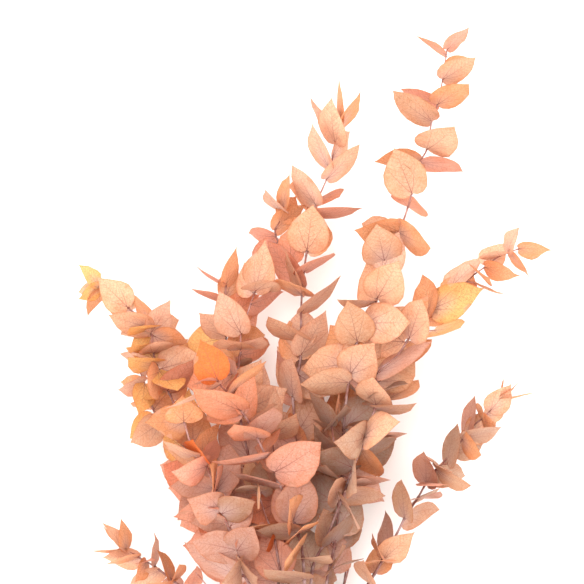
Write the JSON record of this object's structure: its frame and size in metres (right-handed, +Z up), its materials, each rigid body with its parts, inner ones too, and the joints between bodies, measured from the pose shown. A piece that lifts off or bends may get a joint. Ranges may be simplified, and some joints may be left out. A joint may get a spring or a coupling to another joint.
{
  "type": "bunch of dried eucalyptus",
  "caption": "Tied bunch of dried, dyed silver-dollar eucalyptus: woody stems fanning out into leafy shoots with round, pointed peach-coloured leaves, lying on its back.",
  "frame": {"origin": "on the surface that the bunch lies on, at the middle of the bunch's box", "axes": "+Z up from the surface, +Y from the cut ends of the stems to the tips of the shoots, +X to the right as seen from above with the tips away from the viewer"},
  "size_m": [0.428, 0.687, 0.1819],
  "materials": {
    "leaves_peach": "dried leaf dyed peach, matt, fine veins and specks",
    "leaves_salmon": "dried leaf dyed salmon, matt, fine veins",
    "leaves_yellow": "dried leaf dyed yellow-orange, matt",
    "leaves_tan": "dried leaf, faded tan to grey, matt",
    "stem_bark": "thin red-brown bark, matt",
    "tie_twine": "wound jute twine"
  },
  "bodies": {
    "root": {"back_shoot_centre": "leaves_tan", "back_shoot_centre_left": "leaves_tan", "back_shoot_far_right": "leaves_tan", "back_shoot_left": "leaves_tan", "back_shoot_right": "leaves_tan", "low_shoot_back": "leaves_tan", "low_shoot_front": "leaves_tan", "low_shoot_left": "leaves_tan", "low_shoot_left_back": "leaves_tan", "low_shoot_left_front": "leaves_tan", "low_shoot_middle": "leaves_tan", "low_shoot_right": "leaves_tan", "low_shoot_right_back": "leaves_tan", "low_shoot_right_front": "leaves_tan", "shoot_centre_grey": "leaves_tan", "shoot_front": "leaves_salmon", "shoot_front_left": "leaves_salmon", "shoot_front_low": "leaves_tan", "shoot_inner_pale": "leaves_tan", "shoot_left_low": "leaves_salmon", "shoot_left_middle": "leaves_peach", "shoot_left_middle_side": "leaves_peach", "shoot_lower_left": "leaves_salmon", "shoot_right": "leaves_peach", "shoot_right_low": "leaves_tan", "shoot_top_middle": "leaves_peach", "shoot_top_middle_side": "leaves_peach", "shoot_top_right": "leaves_peach", "shoot_upper_left": "leaves_yellow", "shoot_upper_left_side": "leaves_yellow", "stem_centre": "stem_bark", "stem_centre_left": "stem_bark", "stem_front": "stem_bark", "stem_front_centre": "stem_bark", "stem_front_low": "stem_bark", "stem_front_right": "stem_bark", "stem_left_back": "stem_bark", "stem_left_front": "stem_bark", "stem_left_low": "stem_bark", "stem_right": "stem_bark", "stem_right_back": "stem_bark", "stem_right_low": "stem_bark", "tie": "tie_twine"}
  },
  "joints": []
}
